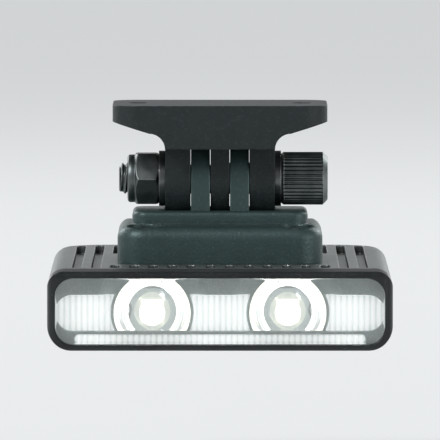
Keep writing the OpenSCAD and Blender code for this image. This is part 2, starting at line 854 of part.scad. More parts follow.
module optic_holder() color("#1b1d1f") difference() {
    union() {
        along_y(gasket_back_y, chin_back_y - fit) window_outline(ledge - fit);
        along_y(gasket_back_y, bezel_back_y) cell_outline(ledge - fit);
        along_y(bezel_back_y - over, lamp_board_y0)
            rounded(-lamp_board_w / 2, lamp_board_z0, lamp_board_w / 2, lamp_board_z1,
                [lamp_board_r, lamp_board_r, lamp_board_r, lamp_board_r]);
    }
    intersection() {
        optic_slab(fit);
        for (side = [-1, 1]) translate([side * led_x, 0, 0]) {
            optic_revolve(optic_fit);
            translate([0, gasket_back_y + flare_depth, led_z]) rotate([90, 0, 0])
                cylinder(r1 = optic_r, r2 = flare_r, h = flare_depth + slip);
        }
    }
    for (side = [-1, 1]) {
        along_y(optic_rear_y - over, lamp_board_y0 + over)
            translate([side * led_x, led_z]) circle(optic_neck_r + optic_fit);
        along_y(lamp_board_y0 - m2_head_h - head_room, lamp_board_y0 + over)
            translate([side * lamp_screw_x, lamp_screw_z]) circle(m2_head_r + head_room);
    }
    along_y(gasket_back_y - over, gasket_back_y + bar_depth + fit) {
        bar_outline(fit);
        chin_outline(fit);
    }
    along_y(gasket_back_y + rib_depth, gasket_back_y + bar_depth + fit) rib_slots();
    bar_led_places(gasket_back_y, lamp_board_y0 + over, tunnel_margin);
    along_z(floor_z, tongue_z1 + fit) tongue_plan(fit);
}

module light_bars() color("#fbfcf8") along_y(gasket_back_y, gasket_back_y + bar_depth) {
    bar_outline(0);
    chin_outline(0);
}

// Lamp board

// Blocks at the small emitters' places from y0 to y1, grown by a margin
module bar_led_places(y0, y1, grow) {
    half_x = bar_led[0] / 2 + grow;
    half_z = bar_led[2] / 2 + grow;
    for (x = [bar_led_inner_x, bar_led_outer_x]) each_side()
        translate([x - half_x, y0, led_z - half_z]) cube([2 * half_x, y1 - y0, 2 * half_z]);
}

module led_board() color("#e6e8e4") along_y(lamp_board_y0, lamp_board_y1) difference() {
    rounded(-lamp_board_w / 2, lamp_board_z0, lamp_board_w / 2, lamp_board_z1,
        [lamp_board_r, lamp_board_r, lamp_board_r, lamp_board_r]);
    for (side = [-1, 1]) translate([side * lamp_screw_x, lamp_screw_z]) circle(m2_r + fit);
}

module main_leds() color("#f3d96a") each_side() translate([led_x, 0, led_z]) {
    translate([-led_side / 2, lamp_board_y0 - led_t, -led_side / 2]) cube([led_side, led_t, led_side]);
    translate([0, lamp_board_y0 - led_t, 0]) intersection() {
        sphere(dome_r);
        translate([-dome_r, -2 * dome_r, -dome_r]) cube(2 * dome_r + fit);
    }
}

module bar_leds() color("#f6e7a0") bar_led_places(lamp_board_y0 - bar_led[1], lamp_board_y0, 0);

module led_board_screws() color("#9a9ea2") for (side = [-1, 1])
    translate([side * lamp_screw_x, lamp_board_y0, lamp_screw_z]) rotate([90, 0, 0])
        cap_screw(m2_r, m2_head_r, m2_head_h, lamp_board_t + spreader_t - fit, hex_m2, hex_m2_depth);

module heat_spreader() color("#c4c7c9") difference() {
    union() {
        along_y(lamp_board_y1, spreader_y1)
            translate([-spreader_w / 2, lamp_board_z0]) square([spreader_w, foot_z1 - lamp_board_z0]);
        translate([-foot_w / 2, lamp_board_y1, foot_z1 - foot_t]) cube([foot_w, spreader_t + foot_l, foot_t]);
    }
    translate([-foot_slot_w / 2, lamp_board_y1 - over, lamp_board_z0 + foot_t])
        cube([foot_slot_w, spreader_t + foot_l + 2 * over, lamp_board_h]);
    for (side = [-1, 1]) along_y(lamp_board_y1 - over, spreader_y1 + over)
        translate([side * lamp_screw_x, lamp_screw_z]) circle(m2_r + slip);
}

module thermal_pad() color("#9fb6c4") each_side() translate([foot_slot_w / 2, lamp_board_y1, foot_z1])
    cube([(foot_w - foot_slot_w) / 2, spreader_t + foot_l, pad_t]);

// Cell and its leads

module battery_cell() color("#b9bdc0") {
    along_y(battery_y0, battery_y1 - terrace_l)
        rounded(-battery_w / 2, battery_z0, battery_w / 2, battery_z1,
            [battery_r, battery_r, battery_r, battery_r]);
    translate([-battery_w / 2 + battery_r, battery_y1 - terrace_l - over, pcb_z1 - terrace_t / 2])
        cube([battery_w - 2 * battery_r, terrace_l + over, terrace_t]);
}

module battery_foam() color("#3a3a3d") translate([-battery_w / 2 + battery_r, battery_y0, floor_z])
    cube([battery_w - 2 * battery_r, battery_y1 - terrace_l - battery_y0, foam_t]);

module battery_tabs() color("#c9c4b4") each_side()
    translate([tab_x - tab_w / 2, battery_y1, pcb_z1]) cube([tab_w, pcb_y0 + landing - battery_y1, strip_t]);

module led_flex() color("#b5762a") along_x(-flex_w / 2, flex_w / 2) {
    run_y0 = lamp_board_y1;
    run_y1 = pcb_y0 - flex_gap;
    translate([run_y0, lamp_screw_z]) square([strip_t, battery_z1 - lamp_screw_z]);
    translate([run_y0, battery_z1]) square([run_y1 - run_y0, strip_t]);
    translate([run_y1 - strip_t, pcb_z1]) square([strip_t, battery_z1 - pcb_z1 + strip_t]);
    translate([run_y1 - strip_t, pcb_z1]) square([pcb_y0 + landing - run_y1 + strip_t, strip_t]);
}

// Driver board

module driver_board() color("#1f5a3a") along_z(pcb_z0, pcb_z1) difference() {
    rounded(-pcb_w / 2, pcb_y0, pcb_w / 2, pcb_y1, [pcb_r, pcb_r, pcb_r, pcb_r]);
    for (side = [-1, 1], y = [post_y0, post_y1]) translate([side * post_x, y]) circle(m2_r + fit);
}

module driver_parts() color("#2c2c2e") {
    mid_y = (post_y0 + post_y1) / 2;
    part_x = usb[0] / 2 + coil[0] / 2 + coil_gap;
    can_x = (flex_w + can[0]) / 2 + can_gap;
    translate([0, 0, pcb_z1]) {
        linear_extrude(coil[2]) translate([-part_x, mid_y])
            rounded(-coil[0] / 2, -coil[1] / 2, coil[0] / 2, coil[1] / 2, [coil_r, coil_r, coil_r, coil_r]);
        translate([part_x - chip[0] / 2, mid_y - chip[1] / 2, 0]) cube(chip);
        each_side() translate([can_x - can[0] / 2, pcb_y0 + landing + can_gap, 0]) cube(can);
    }
}

module board_screws() color("#9a9ea2") for (side = [-1, 1], y = [post_y0, post_y1])
    translate([side * post_x, y, pcb_z1])
        cap_screw(m2_r, m2_head_r, m2_head_h, pcb_t + post_h - fit, hex_m2, hex_m2_depth);

module usb_socket() color("#c2c5c8") {
    y0 = port_floor_y - usb[1];
    mid_z = pcb_z1 + usb[2] / 2;
    inner_r = usb_r - usb_wall;
    difference() {
        along_y(y0, port_floor_y)
            rounded(-usb[0] / 2, pcb_z1, usb[0] / 2, pcb_z1 + usb[2], [usb_r, usb_r, usb_r, usb_r]);
        along_y(y0 + usb_back, port_floor_y + over)
            rounded(-usb[0] / 2 + usb_wall, pcb_z1 + usb_wall, usb[0] / 2 - usb_wall,
                pcb_z1 + usb[2] - usb_wall, [inner_r, inner_r, inner_r, inner_r]);
    }
    translate([-usb_tongue[0] / 2, y0 + usb_back / 2, mid_z - usb_tongue[2] / 2]) cube(usb_tongue);
}

module tact_switch() color("#d7d8da") translate([0, button_y, 0]) {
    translate([-switch_side / 2, -switch_side / 2, pcb_z0 - switch_t])
        cube([switch_side, switch_side, switch_t]);
    translate([0, 0, plunger_z]) cylinder(r = plunger_r, h = plunger_h + fit);
}

module status_pipes() color("#dfe9ea") for (i = [-1.5 : 1.5])
    translate([i * pipe_pitch, pipe_y, bottom_z]) cylinder(r = pipe_r, h = pcb_z0 - fit - bottom_z);

// Button and port cover

module power_button() color("#1a1b1c") translate([0, button_y, 0]) {
    dish_r = (button_r * button_r + dish_depth * dish_depth) / (2 * dish_depth);
    difference() {
        translate([0, 0, bottom_z]) cylinder(r = button_r, h = floor_t + slip + fit);
        translate([0, 0, bottom_z + dish_depth - dish_r]) sphere(dish_r);
    }
    translate([0, 0, floor_z + slip]) cylinder(r = button_r + button_flange, h = button_flange_t);
    translate([0, 0, floor_z + slip]) cylinder(r = nub_r, h = nub_z - floor_z - slip);
}

module port_flap() color("#1a1b1c") {
    half = flap_w / 2;
    rod_x(-half, half, flap_axis_y, flap_axis_z, flap_t / 2);
    rod_x(-half - trunnion_l + slip, half + trunnion_l - slip, flap_axis_y, flap_axis_z, trunnion_r);
    translate([-half, flap_axis_y - flap_t / 2, flap_z0]) cube([flap_w, flap_t, flap_axis_z - flap_z0]);
    translate([-half / 2, flap_axis_y, flap_z0]) cube([half, flap_t / 2 + pull_out, pull_h]);
}

hanger_bracket();
pivot_bolt();
pivot_nut();
pivot_washers();
finger_base();
base_screws();
upper_housing();
lower_housing();
housing_gasket();
housing_screws();
front_bezel();
front_lens();
lens_gasket();
optic_left();
optic_right();
optic_holder();
light_bars();
led_board();
main_leds();
bar_leds();
led_board_screws();
heat_spreader();
thermal_pad();
battery_cell();
battery_foam();
battery_tabs();
led_flex();
driver_board();
driver_parts();
board_screws();
usb_socket();
tact_switch();
status_pipes();
power_button();
port_flap();
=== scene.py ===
import math

import bmesh
import bpy
import numpy as np
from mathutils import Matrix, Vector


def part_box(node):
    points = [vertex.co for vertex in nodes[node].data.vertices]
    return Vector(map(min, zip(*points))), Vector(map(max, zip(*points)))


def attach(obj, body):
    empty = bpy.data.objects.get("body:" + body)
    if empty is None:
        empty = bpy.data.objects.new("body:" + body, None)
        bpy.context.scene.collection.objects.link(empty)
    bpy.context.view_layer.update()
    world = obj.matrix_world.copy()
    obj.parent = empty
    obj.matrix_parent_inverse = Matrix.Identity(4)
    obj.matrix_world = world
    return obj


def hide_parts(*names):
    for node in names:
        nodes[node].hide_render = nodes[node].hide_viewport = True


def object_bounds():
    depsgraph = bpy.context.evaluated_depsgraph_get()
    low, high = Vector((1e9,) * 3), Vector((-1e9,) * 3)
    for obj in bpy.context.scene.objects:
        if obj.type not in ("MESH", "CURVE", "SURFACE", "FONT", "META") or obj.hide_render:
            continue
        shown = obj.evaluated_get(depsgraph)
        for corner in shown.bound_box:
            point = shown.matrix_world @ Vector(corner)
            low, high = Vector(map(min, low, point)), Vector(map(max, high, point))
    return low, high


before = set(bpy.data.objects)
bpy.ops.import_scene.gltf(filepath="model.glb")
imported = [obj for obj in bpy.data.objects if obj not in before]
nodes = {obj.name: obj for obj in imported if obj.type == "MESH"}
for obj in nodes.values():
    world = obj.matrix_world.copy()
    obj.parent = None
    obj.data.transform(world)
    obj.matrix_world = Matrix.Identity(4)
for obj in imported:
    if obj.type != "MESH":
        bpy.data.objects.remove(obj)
cad_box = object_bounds()

# Lengths on the object are in millimetres up to its meshes and shaders, and the studio's in metres.
MM = 0.001
REED = 0.9      # pitch of the reeds on the lit bars
GRAIN = 2.2     # bumps to the millimetre of a moulded or blasted skin


def span(node):
    """Lowest and highest corner of a CAD node in millimetres."""
    low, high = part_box(node)
    return np.array(low) / MM, np.array(high) / MM


class Value:
    """A socket of a node tree. Arithmetic on it adds Math nodes to that tree."""

    def __init__(self, graph, socket):
        self.graph = graph
        self.socket = socket

    def math(self, operation, *terms):
        return self.graph.add("ShaderNodeMath", {"operation": operation}, dict(enumerate(terms)))

    def __add__(self, other):
        return self.math("ADD", self, other)

    __radd__ = __add__

    def __sub__(self, other):
        return self.math("SUBTRACT", self, other)

    def __rsub__(self, other):
        return self.math("SUBTRACT", other, self)

    def __mul__(self, other):
        return self.math("MULTIPLY", self, other)

    __rmul__ = __mul__

    def __truediv__(self, other):
        return self.math("DIVIDE", self, other)

    def __pow__(self, other):
        return self.math("POWER", self, other)

    def __abs__(self):
        return self.math("ABSOLUTE", self)

    def sine(self):
        return self.math("SINE", self)

    def at_least(self, other):
        return self.math("MAXIMUM", self, other)

    def at_most(self, other):
        return self.math("MINIMUM", self, other)

    def rise(self, low, high):
        """Smooth step from 0 at low to 1 at high."""
        return self.graph.add("ShaderNodeMapRange", {"interpolation_type": "SMOOTHSTEP"},
                              {"Value": self, "From Min": low, "From Max": high})


class Graph:
    """A node tree that is filled by calls."""

    def __init__(self, tree):
        self.tree = tree
        tree.nodes.clear()

    def add(self, kind, settings=None, sockets=None, out=0):
        """Makes a node: its settings first, then the values or links of its sockets."""
        node = self.tree.nodes.new(kind)
        for key, value in (settings or {}).items():
            setattr(node, key, value)
        for key, value in (sockets or {}).items():
            if isinstance(value, Value):
                self.tree.links.new(value.socket, node.inputs[key])
            else:
                node.inputs[key].default_value = value
        return Value(self, node.outputs[out]) if node.outputs else node

    def blend(self, share, first, second):
        """Mix of two colours by a share."""
        first, second = ((*c, 1) if isinstance(c, tuple) else c for c in (first, second))
        return self.add("ShaderNodeMix", {"data_type": "RGBA"},
                        {0: share, 6: first, 7: second}, out=2)

    def looked_at(self):
        """1 for rays that look at a surface or mirror it, 0 for rays that gather soft light."""
        camera, glossy, through = (self.add("ShaderNodeLightPath", out=f"Is {kind} Ray")
                                   for kind in ("Camera", "Glossy", "Transmission"))
        return camera.at_least(glossy).at_least(through)


class Finish(Graph):
    """A procedural material around a Principled shader, with Object coordinates in millimetres."""

    FEELERS = {"samples": 6}    # rays that feel for edges and creases

    def __init__(self, name, **constants):
        self.material = bpy.data.materials.new(name)
        self.material.use_nodes = True
        super().__init__(self.material.node_tree)
        self.end = self.tree.nodes.new("ShaderNodeOutputMaterial")
        self.shader = self.tree.nodes.new("ShaderNodeBsdfPrincipled")
        for socket, value in constants.items():
            self.shader.inputs[socket.replace("_", " ")].default_value = value
        self.surface(Value(self, self.shader.outputs[0]))
        place = self.add("ShaderNodeTexCoord", out="Object")
        self.mm = self.add("ShaderNodeMapping", {}, {"Vector": place, "Scale": (1 / MM,) * 3})
        self.x, self.y, self.z = (
            self.add("ShaderNodeSeparateXYZ", {}, {"Vector": self.mm}, out=axis) for axis in "XYZ")

    def surface(self, value):
        self.tree.links.new(value.socket, self.end.inputs["Surface"])

    def noise(self, scale, detail=2.0, stretch=(1, 1, 1)):
        """Cloudy noise from 0 to 1 with about `scale` bumps to the millimetre."""
        place = self.add("ShaderNodeMapping", {}, {"Vector": self.mm, "Scale": stretch})
        return self.add("ShaderNodeTexNoise", {},
                        {"Vector": place, "Scale": scale, "Detail": detail})

    def speckle(self, scale):
        """Distance to the nearest of scattered points, about `scale` points to the millimetre."""
        return self.add("ShaderNodeTexVoronoi", {}, {"Vector": self.mm, "Scale": scale})

    def soft_edges(self, radius):
        """Normal of the surface with its sharp edges rounded off, and where its outer edges lie."""
        rounded = self.add("ShaderNodeBevel", self.FEELERS, {"Radius": radius * MM})
        flat = self.add("ShaderNodeNewGeometry", out="Normal")
        along = self.add("ShaderNodeVectorMath", {"operation": "DOT_PRODUCT"},
                         {0: rounded, 1: flat}, out="Value")
        return rounded, (1 - along).rise(0.004, 0.09) * (1 - self.creases(2 * radius))

    def creases(self, reach):
        """1 in inner corners and narrow grooves of the piece, 0 where its surface lies open."""
        settings = {**self.FEELERS, "only_local": True}
        air = self.add("ShaderNodeAmbientOcclusion", settings, {"Distance": reach * MM}, out="AO")
        return 1 - air.rise(0.45, 0.9)

    def bump(self, height, depth, normal=None):
        """Normal that a height from 0 to 1 gives at a depth in millimetres."""
        sockets = {"Height": height, "Strength": 1.0, "Distance": depth * MM}
        if normal is not None:
            sockets["Normal"] = normal
        return self.add("ShaderNodeBump", {}, sockets)

    def shade(self, sockets):
        for key, value in sockets.items():
            self.tree.links.new(value.socket, self.shader.inputs[key])
        return self.material


def paler(colour, gain, lift):
    """A colour times a gain, plus a lift, up to 1."""
    return tuple(min(1.0, gain * c + lift) for c in colour)


def moulded_plastic(name, dark, light, grain=GRAIN, depth=0.09, rough=0.5, rubbed_above=None):
    """Matt moulded plastic: an even spark-eroded grain, faint cloudiness and edges rubbed paler.

    A face above a height that is pressed against something gets scuffs along one way."""
    f = Finish(name, IOR=1.48, Specular_IOR_Level=0.35)
    normal, edge = f.soft_edges(0.3)
    cloud = f.noise(0.3, 5)
    pits = f.noise(grain, 3)
    worn = edge * f.noise(0.8, 4).rise(0.35, 0.65)
    if rubbed_above is not None:
        streaks = f.noise(1.2, 4, (0.12, 1.6, 1)).rise(0.52, 0.72)
        patches = f.noise(0.12, 3).rise(0.4, 0.65)
        face = f.z.rise(rubbed_above - 0.1, rubbed_above)
        worn = worn.at_least(streaks * patches * face * 0.5)
    return f.shade({
        "Base Color": f.blend((worn * 0.6 + pits.rise(0.5, 0.8) * 0.3).at_most(1.0),
                              f.blend(cloud, dark, light), paler(light, 2.2, 0.02)),
        "Roughness": pits * 0.2 + (rough - 0.1) - worn * 0.14,
        "Normal": f.bump(pits, depth, normal)})


def anodised_alloy(name, dark, light, metal, rough):
    """Blasted and anodised aluminium: fine pitted skin, slow tone drift, bright rubbed edges and
    painted shade that darkens the creases."""
    f = Finish(name, IOR=1.6, Metallic=metal)
    normal, edge = f.soft_edges(0.3)
    drift = f.noise(0.3, 6)
    pits = f.noise(GRAIN, 3)
    stars = 1 - f.speckle(1.6).rise(0.06, 0.3)
    worn = edge * f.noise(0.6, 5).rise(0.38, 0.62)
    # painted shade: the base colour darkens where ambient occlusion finds creases and grooves
    crease_shade = f.creases(0.9) * f.noise(0.5, 4).rise(0.3, 0.7)
    clean = f.blend((worn * 0.6 + stars * 0.2).at_most(1.0),
                    f.blend(drift, dark, light), paler(light, 2.1, 0.05))
    return f.shade({
        # the near-black colour mixed in here is the painted shade of the creases
        "Base Color": f.blend(crease_shade * 0.5, clean, (0.02, 0.02, 0.019)),
        "Roughness": pits * 0.24 + (rough - 0.12) - worn * 0.12,
        "Normal": f.bump(pits, 0.06, normal)})


def gloss_plastic(name, dark, light, roof):
    """Polished plastic, nearly black, with faint swirl marks and dust specks; matt on its roof."""
    f = Finish(name, IOR=1.5, Specular_IOR_Level=0.25, Coat_Roughness=0.04)
    normal, edge = f.soft_edges(0.4)
    matt = f.z.rise(roof - 1.2, roof - 0.5)
    haze = f.noise(0.15, 3)
    swirl = f.noise(0.9, 4, (1, 6, 1))
    grain = f.noise(GRAIN, 3)
    dust = 1 - f.speckle(0.7).rise(0.03, 0.08)
    pale = dust * 0.25 + edge * 0.03 + grain.rise(0.5, 0.8) * matt * 0.12
    return f.shade({
        "Base Color": f.blend(pale.at_most(1.0),
                              f.blend(haze.rise(0.3, 0.7), dark, light), (0.2, 0.21, 0.21)),
        "Roughness": 0.1 + swirl.rise(0.5, 0.75) * 0.12 + dust * 0.3 + matt * (0.35 + grain * 0.2),
        "Coat Weight": 0.18 - matt * 0.18,
        "Normal": f.bump(swirl * 0.02 + grain * matt, 0.08, normal)})


def turned_metal(name, dark, light, rough, rings_along="x"):
    """Turned metal: rings that the tool cut across the piece's axis, and a slow stain."""
    f = Finish(name, Metallic=1.0)
    normal, edge = f.soft_edges(0.18)
    rings = f.noise(3.0, 3, (6, 0.2, 0.2) if rings_along == "x" else (0.2, 0.2, 6))
    stain = f.noise(0.35, 4)
    return f.shade({
        "Base Color": f.blend(edge * 0.5, f.blend(stain.rise(0.35, 0.7), dark, light),
                              paler(light, 1.5, 0.02)),
        "Roughness": rings * 0.2 + (rough - 0.1) + stain * 0.08,
        "Normal": f.bump(rings, 0.006, normal)})


def rubber(name, dark, light):
    """Soft matt silicone: powdery, with a fine skin and edges that shine a little more."""
    f = Finish(name, IOR=1.42, Specular_IOR_Level=0.35)
    normal, edge = f.soft_edges(0.3)
    skin = f.noise(3.0, 2)
    bloom = f.noise(0.3, 4)
    return f.shade({
        "Base Color": f.blend(bloom.rise(0.3, 0.75), dark, light),
        "Roughness": skin * 0.12 + 0.62 - edge * 0.1,
        "Normal": f.bump(skin, 0.03, normal)})


def frosted_plastic(name):
    """Frosted rod of clear plastic: milky, with a fine blasted skin and a soft gloss."""
    f = Finish(name, IOR=1.49, Transmission_Weight=0.3, Coat_Weight=0.2)
    skin = f.noise(4.0, 2)
    return f.shade({
        "Base Color": f.blend(skin, (0.62, 0.68, 0.67), (0.8, 0.85, 0.84)),
        "Roughness": skin * 0.2 + 0.35,
        "Normal": f.bump(skin, 0.01)})


def clear_plastic(name, stretch=(0.3, 1, 1.6), haze=0.05, **constants):
    """Clear moulded plastic: see-through, with faint wipe marks or flow lines in its gloss."""
    f = Finish(name, IOR=1.49, Transmission_Weight=1.0, **constants)
    smear = f.noise(0.5, 4, stretch)
    return f.shade({
        "Base Color": f.blend(smear.rise(0.4, 0.8), (0.985, 0.995, 0.995), (0.945, 0.97, 0.97)),
        "Roughness": smear.rise(0.5, 0.8) * haze})


def lit_bar(name):
    """Milky bar switched on: dimmer between reeds and at its edges, brighter over the emitters."""
    f = Finish(name, IOR=1.49, Roughness=0.3, Emission_Strength=1.0)
    low, high = span("light_bars")
    bar_half, strip_half = 2.7, 0.6
    outer_spot, inner_spot = span("bar_leds")[1][0] - 1.5, 2.0
    core, reach = 0.5, 6.0
    ribs = 1 - abs((f.x * (math.pi / REED)).sine())
    from_outer, from_inner = (abs(abs(f.x) - spot) for spot in (outer_spot, inner_spot))
    spots = 1 - from_outer.at_most(from_inner).rise(core, reach)
    from_bar = abs(f.z - (high[2] - bar_half)) / bar_half
    from_strip = abs(f.z - (low[2] + strip_half)) / strip_half
    fade = from_bar.at_most(from_strip).rise(0.4, 1.05)
    glow = 0.7 + spots * 0.2 - ribs * 0.2 - fade * 0.14
    return f.shade({
        "Base Color": f.blend(ribs, (0.34, 0.36, 0.36), (0.22, 0.24, 0.24)),
        "Emission Color": f.blend(glow.at_most(1.0), (0.0, 0.0, 0.0), (0.965, 1.0, 0.99))})


def lit_emitter(name):
    """Emitter switched on: phosphor grains, white in the middle, dimmer and warmer at the rim."""
    f = Finish(name, IOR=1.45, Roughness=0.25, Emission_Strength=1.9)
    low, high = span("main_leds")
    half = (high[2] - low[2]) / 2
    across = abs(f.x) - (high[0] - half)
    up = f.z - (low[2] + half)
    rim = ((across * across + up * up) ** 0.5).rise(0.35 * half, 1.1 * half)
    grain = f.noise(6.0, 2)
    return f.shade({
        "Base Color": f.blend(grain.rise(0.3, 0.7), (0.95, 0.8, 0.32), (0.98, 0.88, 0.5)),
        "Emission Color": f.blend((rim * 0.8 + grain * 0.2).at_most(1.0),
                                  (1.0, 1.0, 0.99), (0.5, 0.5, 0.46))})


def board(name, dark, light):
    """Solder mask: a slight ripple over buried tracks and a clear coat."""
    f = Finish(name, IOR=1.5, Coat_Weight=0.3, Coat_Roughness=0.2)
    weave = f.noise(2.0, 3)
    tracks = ((f.x + f.y) * 4.0).sine().rise(0.5, 0.8)
    return f.shade({
        "Base Color": f.blend(tracks * 0.5 + weave * 0.3, dark, light),
        "Roughness": weave * 0.2 + 0.3,
        "Normal": f.bump(tracks, 0.01)})


def foil(name, dark, light):
    """Rolled metal or pouch foil: soft creases in a dull film."""
    f = Finish(name, Metallic=0.9)
    crease = f.noise(0.25, 4)
    return f.shade({
        "Base Color": f.blend(crease.rise(0.3, 0.7), dark, light),
        "Roughness": crease * 0.3 + 0.25,
        "Normal": f.bump(crease, 0.08)})


# Finishes that more than one node or piece takes
SCREW = turned_metal("black_oxide_screw", (0.1, 0.104, 0.108), (0.17, 0.175, 0.18),
                     rough=0.36, rings_along="z")
ZINC = turned_metal("zinc_screw", (0.5, 0.51, 0.52), (0.64, 0.65, 0.66), rough=0.34)
HINGE = turned_metal("hinge_steel", (0.1, 0.115, 0.116), (0.2, 0.215, 0.215), rough=0.36)
SEAL = rubber("seal_silicone", (0.016, 0.016, 0.017), (0.026, 0.026, 0.028))
BUTTON = rubber("button_silicone", (0.022, 0.024, 0.025), (0.036, 0.039, 0.04))
LIT_BAR = lit_bar("bar_lit")
EMITTER = lit_emitter("emitter_phosphor")
# painted light: the optics' faint emission stands in for the emitters' light glowing in the clear
# plastic
OPTIC = clear_plastic("optic_clear", stretch=(1, 0.4, 1), haze=0.03,
                      Emission_Color=(0.95, 1.0, 0.99, 1), Emission_Strength=0.1)
WINDOW = clear_plastic("window_clear")

# The finish of every CAD node
FINISHES = {
    "hanger_bracket": moulded_plastic("hanger_nylon", (0.007, 0.012, 0.013), (0.015, 0.022, 0.023),
                                      rubbed_above=span("hanger_bracket")[1][2]),
    "pivot_bolt": HINGE,
    "pivot_nut": HINGE,
    "pivot_washers": turned_metal("washer_steel", (0.16, 0.17, 0.172), (0.26, 0.27, 0.272),
                                  rough=0.3),
    "finger_base": anodised_alloy("base_anodised", (0.028, 0.052, 0.0525), (0.05, 0.086, 0.086),
                                  metal=0.5, rough=0.44),
    "base_screws": SCREW,
    "upper_housing": anodised_alloy("shell_anodised", (0.1, 0.112, 0.111), (0.17, 0.184, 0.183),
                                    metal=0.7, rough=0.42),
    "lower_housing": moulded_plastic("tray_plastic", (0.018, 0.021, 0.022), (0.03, 0.034, 0.035)),
    "housing_gasket": SEAL,
    "housing_screws": SCREW,
    "front_bezel": gloss_plastic("bezel_gloss", (0.006, 0.008, 0.009), (0.012, 0.015, 0.016),
                                 roof=span("front_bezel")[1][2]),
    "front_lens": WINDOW,
    "lens_gasket": SEAL,
    "optic_left": OPTIC,
    "optic_right": OPTIC,
    # painted light: the holder's pale grey-green stands in for the glow of the bars and optics
    # falling on it
    "optic_holder": moulded_plastic("holder_plastic", (0.42, 0.475, 0.465), (0.53, 0.585, 0.575),
                                    grain=4.0, depth=0.01, rough=0.3),
    "light_bars": LIT_BAR,
    "led_board": board("lamp_board_mask", (0.78, 0.79, 0.77), (0.9, 0.91, 0.89)),
    "main_leds": EMITTER,
    "bar_leds": EMITTER,
    "led_board_screws": ZINC,
    "heat_spreader": foil("heat_sheet", (0.62, 0.63, 0.64), (0.76, 0.77, 0.78)),
    "thermal_pad": rubber("pad_silicone", (0.4, 0.5, 0.57), (0.5, 0.61, 0.68)),
    "battery_cell": foil("cell_foil", (0.5, 0.51, 0.52), (0.68, 0.69, 0.7)),
    "battery_foam": rubber("cell_foam", (0.04, 0.04, 0.043), (0.08, 0.08, 0.085)),
    "battery_tabs": foil("tab_nickel", (0.58, 0.55, 0.49), (0.7, 0.67, 0.6)),
    "led_flex": board("flex_film", (0.45, 0.22, 0.05), (0.62, 0.34, 0.1)),
    "driver_board": board("driver_mask", (0.02, 0.12, 0.06), (0.05, 0.22, 0.12)),
    "driver_parts": moulded_plastic("driver_parts", (0.03, 0.03, 0.032), (0.06, 0.06, 0.063)),
    "board_screws": ZINC,
    "usb_socket": foil("socket_steel", (0.34, 0.35, 0.36), (0.48, 0.49, 0.5)),
    "tact_switch": moulded_plastic("switch_body", (0.66, 0.66, 0.67), (0.76, 0.76, 0.77)),
    "status_pipes": frosted_plastic("pipe_frosted"),
    "power_button": BUTTON,
    "port_flap": BUTTON,
}
for node, material in FINISHES.items():
    slots = nodes[node].data.materials
    slots.clear()
    slots.append(material)


def add_object(name, data):
    """New object in the scene, at the origin."""
    made = bpy.data.objects.new(name, data)
    bpy.context.scene.collection.objects.link(made)
    return made


def grid_quads(rows, columns):
    """Corner numbers of the quads of a grid whose columns run round and meet."""
    row, column = np.meshgrid(np.arange(rows - 1), np.arange(columns), indexing="ij")
    here = row * columns + column
    beside = row * columns + (column + 1) % columns
    return np.stack((here, beside, beside + columns, here + columns), axis=-1).reshape(-1, 4)


def new_piece(name, grids, material, slot, body, *replaced):
    """Closed piece from grids of points, each rows of rings, in place of CAD nodes.

    Points that fall together are merged, and edges past a limit of bend are left sharp."""
    merge, sliver, bend = 1e-4 * MM, 1e-5 * MM, math.radians(32)
    points, quads, first = [], [], 0
    for grid in grids:
        rows, columns = grid.shape[:2]
        points.append(grid.reshape(-1, 3))
        quads.append(grid_quads(rows, columns) + first)
        first += rows * columns
    mesh = bpy.data.meshes.new(name)
    mesh.from_pydata((np.concatenate(points) * MM).tolist(), [], np.concatenate(quads).tolist())
    shaper = bmesh.new()
    shaper.from_mesh(mesh)
    bmesh.ops.remove_doubles(shaper, verts=shaper.verts, dist=merge)
    bmesh.ops.dissolve_degenerate(shaper, edges=shaper.edges, dist=sliver)
    bmesh.ops.recalc_face_normals(shaper, faces=shaper.faces)
    shaper.to_mesh(mesh)
    shaper.free()
    mesh.shade_smooth()
    mesh.set_sharp_from_angle(angle=bend)
    mesh.materials.append(material)
    piece = add_object(name, mesh)
    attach(piece, body)
    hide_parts(*replaced)


def angles(count):
    """Angles of a count of points round an axis."""
    return np.linspace(0, 2 * math.pi, count, endpoint=False)


def hexagon(flats, angle):
    """Radius of a hexagon at an angle: half its flats over the cosine of the angle to the middle
    of the nearest flat."""
    return flats / 2 / np.cos((angle + math.pi / 6) % (math.pi / 3) - math.pi / 6)


def stations(*corners, step=0.1):
    """Places along a profile of (along, radius) corners, no further apart than a step."""
    corners = np.array(corners, float)
    length = np.hypot(*np.diff(corners, axis=0).T)
    counts = np.maximum(1, np.ceil(length / step)).astype(int)
    runs = [np.linspace(a, b, n, endpoint=False)
            for a, b, n in zip(corners[:-1], corners[1:], counts)]
    return np.concatenate(runs + [corners[-1:]])


def rings(along, radius, angle):
    """Grid of rings about an axis: at each place along it, a radius that may vary by angle."""
    along = np.broadcast_to(along[:, None], radius.shape)
    return np.stack((along, radius * np.sin(angle), radius * np.cos(angle)), axis=-1)


def all_round(profile, angle):
    """Radii of a profile, the same at every angle."""
    return np.repeat(profile[:, 1:], angle.size, 1)


def turned(profile, angle):
    """Grid of a profile of (along, radius) places turned about its axis."""
    return rings(profile[:, 0], all_round(profile, angle), angle)


def upright(grid):
    """The same grid with its axis along z in place of x."""
    return grid[..., [1, 2, 0]]


